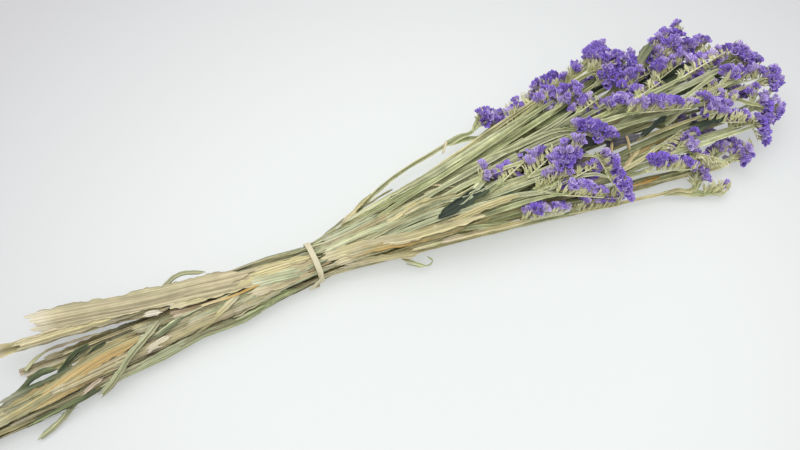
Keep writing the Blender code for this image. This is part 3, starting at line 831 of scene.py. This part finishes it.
# smaller spikes that grow from the same stems further back, some of them with few flowers
SIDE_SPIKES = (
    (9, "d", (146, 45, 34), 25, 7, 26, 50, 0.3), (13, "c", (165, 21, 46), 13, 5, 21, 150, 0.9),
    (11, "c", (118, -18, 44), 7, 5, 21, 30, 0.9), (11, "d", (111, -25, 42), -2, 6, 19, 30, 0.4),
    (10, "d", (130, -30, 46), 5, 5, 23, 153, 0.8), (10, "e", (156, -39, 46), -82, -10, 20, 60, 1.0),
    (10, "f", (126, -41, 14), -14, 0, 41, 63, 0.75), (10, "g", (101, -24, 38), 3, 6, 20, -20, 0.3),
    (11, "e", (102, -13, 42), 18, 8, 29, 110, 0.4), (11, "f", (66, -1, 40), 25, 6, 13, 0, 0.5),
    (9, "e", (142, 42, 15), -10, 7, 25, 0, 0.9), (9, "f", (154, 58, 26), 34, 6, 20, 40, 1.0),
    (9, "g", (121, 50, 24), 30, 6, 12, 40, 0.15), (8, "k", (197, 61, 38), 2, 6, 17, 60, 1.0),
    (8, "j", (191, 55, 38), -5, 6, 24, 60, 0.15), (8, "d", (193, 64, 36), 12, 7, 26, 30, 1.0),
    (8, "e", (203, 57, 38), 0, 4, 23, 30, 1.0), (13, "d", (192, 41, 44), 16, 7, 16, -27, 0.9),
    (8, "f", (207, 35, 38), 36, 9, 27, -60, 0.9), (13, "e", (204, 23, 44), 21, 5, 23, 60, 1.0),
    (12, "d", (183, 10, 46), 1, 5, 23, 40, 0.9), (12, "e", (212, 13, 48), 11, 4, 27, 150, 0.3),
    (8, "g", (236, 24, 40), 13, 7, 31, 60, 0.95), (13, "f", (218, 34, 38), 3, 4, 27, 120, 0.5),
    (13, "h", (152, 6, 48), -43, 0, 26, 25, 1.0), (13, "i", (174, 56, 30), 22, 6, 24, 60, 0.1),
    (13, "j", (140, 41, 38), 12, 4, 22, 60, 0.2), (13, "k", (196, 54, 42), 0, 4, 26, -60, 0.2),
    (8, "h", (245, 39, 36), 20, 8, 30, 0, 0.55), (7, "d", (275, 43, 30), 2, 4, 25, 40, 0.6),
    (7, "e", (283, 31, 30), 14, 6, 21, 110, 0.3), (7, "f", (307, 12, 34), -18, 6, 20, 60, 0.9),
    (7, "g", (303, 22, 37), -25, 40, 12, 90, 1.0), (7, "h", (283, -2, 44), 6, 4, 14, 30, 1.0),
    (7, "i", (301, -20, 30), 22, 10, 13, 60, 0.8), (7, "j", (315, -7, 34), -8, 0, 17, -27, 0.9),
    (7, "k", (309, 17, 37), 10, 20, 12, -95, 1.0), (12, "f", (265, -1, 36), 0, 6, 18, 120, 0.5),
    (6, "d", (301, -23, 26), 13, 6, 20, -27, 0.9), (6, "e", (297, -31, 22), -99, -13, 17, 60, 0.9),
    (6, "f", (273, -31, 26), -12, 0, 24, 63, 0.9), (5, "d", (222, -36, 34), 32, 8, 17, -60, 0.95),
    (6, "g", (223, -45, 16), -6, 0, 23, 63, 0.7), (2, "c", (270, -50, 12), 0, 8, 11, -27, 1.0),
    (12, "g", (252, -19, 40), -12, 4, 22, 63, 1.0), (1, "c", (232, -58, 8), 45, 12, 17, 0, 0.6),
    (1, "d", (237, -66, 6), -42, 1, 12, 60, 0.15),
)
STEM_TONES = ((LEAF_GREEN, GREY_GREEN), (GREY_GREEN, PALE_GREEN), (GREY_GREEN, STRAW), (LEAF_GREEN, STRAW),
              (STRAW, BEIGE))
# the share of its free length at which a short stem forks, and how wide the branches are, next to a
# whole stem, at four places along them
STEM_END = 0.97
MAIN_WIDTHS, FIRST_WIDTHS = (0.8, 0.8, 0.66, 0.35), (0.45, 0.45, 0.4, 0.3)
SIDE_WIDTHS, THIN_WIDTHS, LOW_WIDTHS = (0.6, 0.62, 0.55, 0.35), (0.5, 0.55, 0.5, 0.35), (0.6, 0.5, 0.42, 0.3)
# pale stems that lie on top of the others: their paths, widths and colours
OVER_STEMS = (
    (((150, -6, 38), (210, 3, 44), (245, 8, 45), (276, 11, 43), (305, 15, 38)),
     (0.6, 0.65, 0.7, 0.75, 0.5), (GREY_GREEN, PALE_GREEN)),
    (((120, -30, 28), (188, -37, 34), (222, -38, 35), (248, -39, 34), (294, -38, 27)),
     (0.5, 0.5, 0.5, 0.5, 0.4), (GREY_GREEN, LEAF_GREEN)),
    (((120, -38, 20), (153, -42, 19), (178, -42, 17), (224, -47, 13), (263, -50, 10)),
     (0.4, 0.45, 0.45, 0.45, 0.4), (STRAW, GREY_GREEN)),
    (((92, -26, 38), (152, -36, 40), (190, -33, 38), (212, -27, 36)),
     (0.5, 0.5, 0.5, 0.4), (GREY_GREEN, STRAW)),
    (((-50, 12, 14), (12, 21, 30), (56, 26, 37), (122, 37, 42), (140, 42, 36)),
     (0.55, 0.6, 0.6, 0.55, 0.4), (GREY_GREEN, PALE_GREEN)),
    (((-54, 8, 14), (17, 15, 33), (72, 23, 40), (140, 38, 44), (156, 42, 42)),
     (0.55, 0.6, 0.6, 0.55, 0.4), (LEAF_GREEN, GREY_GREEN)),
    (((-54, 4, 15), (22, 8, 34), (75, 13, 40), (150, 23, 44), (166, 28, 42)),
     (0.6, 0.65, 0.65, 0.55, 0.4), (GREY_GREEN, PALE_GREEN)),
    (((-54, 0, 16), (26, 1, 35), (72, 3, 41), (135, -2, 44)),
     (0.6, 0.65, 0.6, 0.4), (LEAF_GREEN, GREY_GREEN)),
    (((-50, -1, 15), (27, -8, 37), (47, -12, 40), (65, -4, 42), (80, 2, 42)),
     (0.6, 0.7, 0.7, 0.7, 0.4), (PALE_GREEN, GREY_GREEN)),
    (((-40, 3, 18), (34, -2, 38), (56, -8, 41), (82, -6, 43)),
     (0.5, 0.5, 0.45, 0.35), (PALE_GREEN, GREY_GREEN)),
    (((-54, -3, 14), (20, -13, 36), (59, -18, 40), (105, -28, 42), (118, -33, 40)),
     (0.6, 0.65, 0.65, 0.6, 0.4), (GREY_GREEN, PALE_GREEN)),
    (((225, -12, 36), (249, -8, 46), (270, -6, 48), (297, -4, 46)),
     (0.5, 0.55, 0.55, 0.5), (LEAF_GREEN, GREY_GREEN)),
    (((225, -5, 36), (249, -1, 46), (257, 1, 47), (279, 6, 47)),
     (0.4, 0.45, 0.5, 0.7), (LEAF_GREEN, GREY_GREEN)),
    (((250, -16, 34), (284, -14, 39), (297, -23, 37), (308, -29, 34)),
     (0.4, 0.5, 0.5, 0.45), (LEAF_GREEN, OLIVE)),
)
SPIKELET_PITCH, STALK_RADIUS, FLOWERING = 0.0038, 0.0008, 0.8
# a calyx: its pleats, the radius of its foot, then the height and the widening of its tube and limb
CALYX_SIDES, CALYX_FOOT = 16, 0.0008
CALYX_TUBE, CALYX_LIMB = (0.0046, 2.9), (0.0026, 1.07)
PAPER_WALL, SCALE_WALL = 0.00012, 0.03
VIOLET_DEEP = (0.325, 0.20, 0.78)
VIOLET = (0.58, 0.42, 0.97)
LAVENDER = (0.75, 0.63, 0.97)
BRACT_PALE = (0.95, 0.94, 0.72)
BRACT_GREEN = (0.66, 0.65, 0.31)

chance = random.Random(7)


def join_up(name, pieces):
    """Joins pieces into one, which takes the name."""
    bpy.ops.object.select_all(action="DESELECT")
    for piece in pieces:
        piece.select_set(True)
    bpy.context.view_layer.objects.active = pieces[0]
    if len(pieces) > 1:
        bpy.ops.object.join()
    pieces[0].name = name
    pieces[0].data.name = name
    return pieces[0]


def calyx(name, flare, fold, seed):
    """One papery funnel: a narrow tube that opens into a finely pleated, frayed limb."""
    local = random.Random(seed)
    bpy.ops.mesh.primitive_circle_add(vertices=CALYX_SIDES, radius=CALYX_FOOT, fill_type="NOTHING")
    made = bpy.context.object
    made.name = name
    bpy.ops.object.mode_set(mode="EDIT")
    bpy.ops.mesh.select_all(action="SELECT")
    for height, wider in (CALYX_TUBE, (CALYX_LIMB[0], CALYX_LIMB[1] * flare)):
        bpy.ops.mesh.extrude_edges_move(TRANSFORM_OT_translate={"value": (0, 0, height)})
        bpy.ops.transform.resize(value=(wider, wider, 1))
    bpy.ops.object.mode_set(mode="OBJECT")
    points = places(made)
    angle = np.arctan2(points[:, 1], points[:, 0])
    inner = np.round(angle / (math.tau / CALYX_SIDES)).astype(int) % 2 == 1
    opened = points[:, 2] / points[:, 2].max()
    limb = np.clip((opened - 0.45) / 0.55, 0, 1)
    lobes = np.sin(3 * angle + local.uniform(0, 6)) + 0.6 * np.sin(5 * angle + local.uniform(0, 6))
    points[:, :2] *= (1 - limb * (fold * inner - 0.10 * lobes - 0.12 * local.random()))[:, None]
    points[:, 2] += limb * (0.0003 * np.where(inner, 1, -1) - 0.0005 * lobes)
    points[:, 2] += [0.0015 * (local.random() - 0.5) * share for share in limb]
    set_places(made, points)
    for kind, values in (("rim", opened), ("pleat", inner * np.clip(opened * 1.5, 0, 1))):
        stored = made.data.attributes.new(kind, "FLOAT", "POINT")
        stored.data.foreach_set("value", values.astype(np.float32))
    give_wall(made, PAPER_WALL)
    return made


def bract():
    """One pointed, keeled green scale, 1 long."""
    made = flat_grid("bract", 4, 2)
    points = places(made)
    wide = np.interp(points[:, 0], (0, 0.25, 0.5, 0.75, 1), (0.05, 0.085, 0.10, 0.065, 0.006))
    points[:, 2] = 0.03 - np.abs(points[:, 1]) * 2 * wide * 0.8 + 0.14 * points[:, 0] ** 2
    points[:, 1] *= 2 * wide
    set_places(made, points)
    give_wall(made, SCALE_WALL)
    return made


def shaded(colour, change):
    return tuple(min(max(value * change, 0.0), 0.95) for value in colour)


def set_out(template, name, at, axis, way, size, roll):
    """A copy with its own axis along way, turned about it by roll."""
    made = own_copy(template, name)
    turn = Vector(way).to_track_quat(axis, "Z" if axis == "X" else "Y").to_matrix().to_4x4()
    made.data.transform(Matrix.Translation(at) @ turn @ Matrix.Rotation(roll, 4, axis)
                        @ Matrix.Diagonal((*size, 1)))
    return made


# the scales of one spikelet: where each starts, its length and its side; the last is the spur
FAN_SCALES = ((0, 0.0052, -1), (0.0006, 0.0064, 1), (0.0013, 0.0078, -0.7), (0.0018, 0.0088, 0.6),
              (0.0028, 0.0086, -0.2), (0.0034, 0.0080, 0.3), (0, 0.0042, 0))


def bract_fan(name, local):
    """The scales of one spikelet, which points along X: green, with paler tips, and a small spur."""
    scales = []
    tip = np.clip((places(bract_template)[:, 0] - 0.35) / 0.5, 0, 1)[:, None]
    for start, reach, side in FAN_SCALES:
        spur = side == 0
        way = (1, 0.34 * side + local.uniform(-0.3, 0.3), local.uniform(-0.35, 0.4))
        if spur:
            way = (0.5, local.choice((-1, 1)), local.uniform(-0.3, 0.3))
        scale = set_out(bract_template, "bract", (start, 0, 0), "X", way,
                        (reach * local.uniform(0.9, 1.1), *[reach * (0.5 if spur else 1.1)] * 2),
                        1.2 * side + local.uniform(-0.6, 0.6))
        green, pale = (np.array(shaded(pick, local.uniform(0.85, 1.12)))
                       for pick in (BRACT_GREEN, BRACT_PALE))
        tint = local.uniform(0.05, 0.4) + (0.5 if spur else local.uniform(0.3, 0.6)) * tip
        give_tone(scale, blended(green, pale, tint))
        scales.append(scale)
    return join_up(name, scales)


def calyx_tuft(name, number, local):
    """The papery calyces of one spikelet, which points along X."""
    papers = []
    for _ in range(number):
        way = (1, local.uniform(-0.8, 0.8), local.uniform(-0.8, 0.8))
        size = local.uniform(0.66, 1.12)
        paper = set_out(local.choice(calyx_templates), "calyx", (local.uniform(0.0038, 0.0082), 0, 0), "Z",
                        way, (size, size * local.uniform(0.7, 1.0), size), local.uniform(0, math.tau))
        pick = local.random() ** 1.15
        tone = (between(VIOLET_DEEP, VIOLET, pick * 2) if pick < 0.5
                else between(VIOLET, LAVENDER, pick * 2 - 1))
        give_tone(paper, tone)
        papers.append(paper)
    return join_up(name, papers)


def spikelets(length, bloom, local):
    """The bract fans and calyx tufts of a straight spike along X, whose flowers face up."""
    scales, papers = [], []
    count = max(3, round(length / SPIKELET_PITCH))
    for at in range(count):
        for side in (-1, 1):
            share = (at + 0.5 + 0.25 * side + 0.4 * local.uniform(-1, 1)) / count
            grown = 0.70 + 0.30 * math.sin(math.pi * min(1.0, share * 0.8 + 0.25))
            foot = (share * length, side * 0.0004, 0.0004)
            way = (0.55 + 0.25 * local.uniform(-1, 1), side * (0.42 + 0.28 * local.uniform(-1, 1)),
                   0.80 + 0.2 * local.uniform(-1, 1))
            size = (grown * local.uniform(0.88, 1.12),) * 3
            scales.append(set_out(local.choice(fan_templates), "fan", foot, "X", way, size,
                                  local.uniform(-1.5, 1.5)))
            if local.random() < bloom * FLOWERING:
                papers.append(set_out(local.choice(tuft_templates), "tuft", foot, "X", way, size,
                                      local.uniform(0, math.tau)))
    for side in (-1, 1):
        leaf = set_out(bract_template, "bract", (-0.004, 0, 0), "X",
                       (1, side * local.uniform(0.15, 0.4), local.uniform(-0.1, 0.4)),
                       (local.uniform(0.011, 0.016),) * 3, side * local.uniform(0, 1))
        give_tone(leaf, shaded(between(LEAF_GREEN, GREY_GREEN, local.random()), 0.9))
        scales.append(leaf)
    return scales, papers


def stalk(length):
    """The spike's thin straight stalk."""
    made = own_copy(twig_template, "stalk")
    points = places(made)
    taper = 1 - 0.6 * points[:, 0]
    points[:, 0] *= length
    points[:, 1:] *= (STALK_RADIUS * taper)[:, None]
    set_places(made, points)
    give_tone(made, between(BRACT_GREEN, BRACT_PALE, 0.4))
    return made


def calyx_finish():
    """Thin violet paper, greenish white at the foot, with painted shade in the folds and the throat and a
    painted highlight on the ridges and the rim.
    """
    material, shader = new_finish("papery_flower", 0.75, 0.2)
    shader.inputs["Sheen Weight"].default_value = 0.15
    shader.inputs["Sheen Roughness"].default_value = 0.5
    tone, rim, pleat = (add_node(material, "Attribute", attribute_name=kind)
                        for kind in ("tone", "rim", "pleat"))
    # painted shade: darker down in the throat, lighter at the rim
    throat_shade = add_node(material, "MapRange", from_min=0.55, to_min=0.6, to_max=1.05)
    foot = add_node(material, "MapRange", from_min=0.1, from_max=0.42)
    tube = add_node(material, "Mix", data_type="RGBA", a=(0.52, 0.46, 0.40, 1))
    # painted shade in the folds and painted highlight on the ridges
    fold = add_node(material, "MapRange", to_min=1.2, to_max=0.68)
    crease = speckle(material, 700, 3)
    paper = add_node(material, "MapRange", from_min=0.3, from_max=0.7, to_min=0.8, to_max=1.18)
    painted_shade_and_highlight, shade = (add_node(material, "Math", operation="MULTIPLY") for _ in range(2))
    wire(material, (rim, "Fac", foot, "Value"), (foot, "Result", tube, "Factor"), (tone, "Color", tube, "B"),
         (pleat, "Fac", fold, "Value"), (rim, "Fac", throat_shade, "Value"), (fold, "Result", painted_shade_and_highlight, 0),
         (throat_shade, "Result", painted_shade_and_highlight, 1), (crease, "Fac", paper, "Value"), (painted_shade_and_highlight, "Value", shade, 0),
         (paper, "Result", shade, 1))
    paint(material, (tube, "Result"), (shade, "Value"))
    roughen(material, crease, 0.5, 0.0003)
    return material


def bract_finish():
    """Dry green scales, mottled and a little glossy."""
    material, _ = new_finish("dry_bract", 0.7, 0.3)
    tone = add_node(material, "Attribute", attribute_name="tone")
    mottle = add_node(material, "MapRange", from_min=0.3, from_max=0.7, to_min=0.8, to_max=1.2)
    wire(material, (speckle(material, 600, 2), "Fac", mottle, "Value"))
    paint(material, (tone, "Color"), (mottle, "Result"))
    return material


def heading_way(heading, pitch):
    turn, climb = math.radians(heading), math.radians(pitch)
    return Vector((math.cos(turn) * math.cos(climb), math.sin(turn) * math.cos(climb), math.sin(climb)))


def branch(start, base, way, seed, widths=LOW_WIDTHS, colours=STEM_TONES[0], path=None):
    """A thin winged branch from a stem to a spike's foot, or along a path of its own."""
    start, seat = Vector(start), Vector(base)
    nearing = (way + 1.5 * (seat - start).normalized()).normalized()
    rise = seat - nearing * min(10.0, 2 + 0.16 * (seat - start).length)
    middle = start + (rise - start) * 0.6 + Vector((0, chance.uniform(-1, 1), chance.uniform(0, 3)))
    path = path or (tuple(start), tuple(middle), tuple(rise), tuple(seat + way * 1.0))
    made = own_copy(branch_template, "branch")
    length = length_of(path)
    points, wing = wave_wings(made, length, seed, sway=1.3)
    tone = np.array(between(*colours, 0.5 + 0.5 * noise.noise((seed, 0.3, 0.7))))
    # the core between the wings is painted darker and the wings lighter: painted shade and painted highlight
    shade = (1 + 0.2 * ripple(points[:, 0], seed, 0.02, wing)) * np.where(wing, 1.14, 0.68)
    give_tone(made, tone * shade[:, None])
    grain_map(made, points[:, 0], np.arctan2(points[:, 2], points[:, 1]) * 0.003)
    bend_along(made, path, widths)
    return made


bract_template = bract()
calyx_templates = [calyx("calyx_open", 1.6, 0.22, 1), calyx("calyx_half", 1.35, 0.3, 2),
                   calyx("calyx_wide", 1.8, 0.18, 3), calyx("calyx_frayed", 1.5, 0.34, 4)]
fan_templates = [bract_fan(f"fan_{number}", chance) for number in range(6)]
tuft_templates = [calyx_tuft(f"tuft_{number}", (3, 3, 4, 3)[number % 4], chance) for number in range(8)]
twig_template = bar("twig", 5, (5,))
branch_template = winged_bar("branch_bar", (23,), WING_TOP * 0.8)

flower_finish = calyx_finish()
scale_finish = bract_finish()


def spike(name, base, heading, pitch, length, face, bloom, *nodes):
    """One whole spike: its stalk and scales, and its papery calyces."""
    way = heading_way(heading, pitch)
    scales, papers = spikelets(length * MM, bloom, chance)
    scales.append(stalk(length * MM))
    path = [tuple(Vector(base) + way * length * share) for share in (0, 0.35, 0.7, 1.0)]
    for kind, pieces, finish, slot in (("bracts", scales, scale_finish, "dry_leaf"),
                                       ("calyces", papers, flower_finish, "papery_flower")):
        if pieces:
            whole = join_up(f"{kind}_{name}", pieces)
            bend_along(whole, path, facings=(face,) * 4, fitted=False)
            lay_on_table(whole, HIGH_REST)
            dress(whole, finish, slot, *(nodes if kind == "bracts" else ()))
    return way


def along_stem(route, share):
    """The point at that share of a stem's free part, from the band to the fork."""
    held_to, waist, fork = route[3:]
    return between(held_to, waist, share * 2) if share < 0.5 else between(waist, fork, share * 2 - 1)


def held_start():
    """A point in the middle of the bunch, just in front of the band."""
    return Vector((-60, BAND_Y + chance.uniform(-7, 7), SLEEVE_Z + chance.uniform(-5, 5)))


for stem, letter, base, heading, pitch, length, face, bloom in SPIKES:
    way = spike(f"{stem:02d}{letter}", base, heading, pitch, length, face, bloom, f"spike_{stem:02d}{letter}")
    start = along_stem(stem_routes[stem - 1], chance.uniform(0.5, 0.8) if stem not in (1, 4) else STEM_END)
    colours = (STRAW, GREY_GREEN) if stem < 3 else STEM_TONES[0]
    stem_pieces[stem - 1].append(branch(start, base, way, stem * 10 + ord(letter),
                                        FIRST_WIDTHS if stem == 1 else MAIN_WIDTHS, colours))
for number, (path, widths, colours) in enumerate(OVER_STEMS):
    made = branch(path[0], path[-1], Vector((1, 0, 0)), 700 + number, widths, colours, path)
    stem_pieces[8 + number % 5].append(made)
for stem, letter, base, heading, pitch, length, face, bloom in SIDE_SPIKES:
    way = spike(f"{stem:02d}{letter}", base, heading, pitch, length, face, bloom)
    start = held_start() if stem > 1 else along_stem(stem_routes[0], STEM_END)
    stem_pieces[stem - 1].append(branch(start, base, way, stem * 10 + ord(letter), SIDE_WIDTHS,
                                        chance.choice(STEM_TONES[:4])))

# thin stems that end out of sight under the flowers
for stem, letter, base, heading, pitch, length, face, bloom in (*SPIKES, *SIDE_SPIKES):
    if stem < 3 or stem == 4 or base[1] > 50 or base[0] > 215 or chance.random() < 0.4:
        continue
    start = held_start()
    seat = Vector(base) + Vector((chance.uniform(-25, 0), chance.uniform(-6, 6), chance.uniform(-20, -9)))
    tones = STEM_TONES[2:] if base[1] < -15 else STEM_TONES[:3]
    way = (seat - start).normalized()
    stem_pieces[stem - 1].append(branch(start, seat, way, stem * 10 + ord(letter) + 500, THIN_WIDTHS,
                                        chance.choice(tones)))

# the lowest flowers, that fill the bunch down to the table
for stem, letter, base, heading, pitch, length, face, bloom in SPIKES[::2]:
    if base[1] < -25 or stem == 4:
        continue
    place = (base[0] + chance.uniform(-24, 4), base[1] * 0.8 + chance.uniform(-8, 8),
             max(6.0, base[2] * 0.45 + chance.uniform(-4, 4)))
    way = spike(f"{stem:02d}{letter}low", place, heading + chance.uniform(-15, 15), 0, 26,
                chance.uniform(-60, 60), 0.8)
    start = along_stem(stem_routes[stem - 1], chance.uniform(0.3, 0.8))
    stem_pieces[stem - 1].append(branch(start, place, way, stem * 10 + ord(letter) + 300))

for number, pieces in enumerate(stem_pieces, start=1):
    stem = join_up(f"winged_stem_{number:02d}", pieces)
    lay_on_table(stem, HIGH_REST)
    dress(stem, stem_finish, "dry_stem", f"stem_{number:02d}")

for template in (stem_template, branch_template, twig_template, bract_template, *calyx_templates,
                 *fan_templates, *tuft_templates):
    put_away(template)
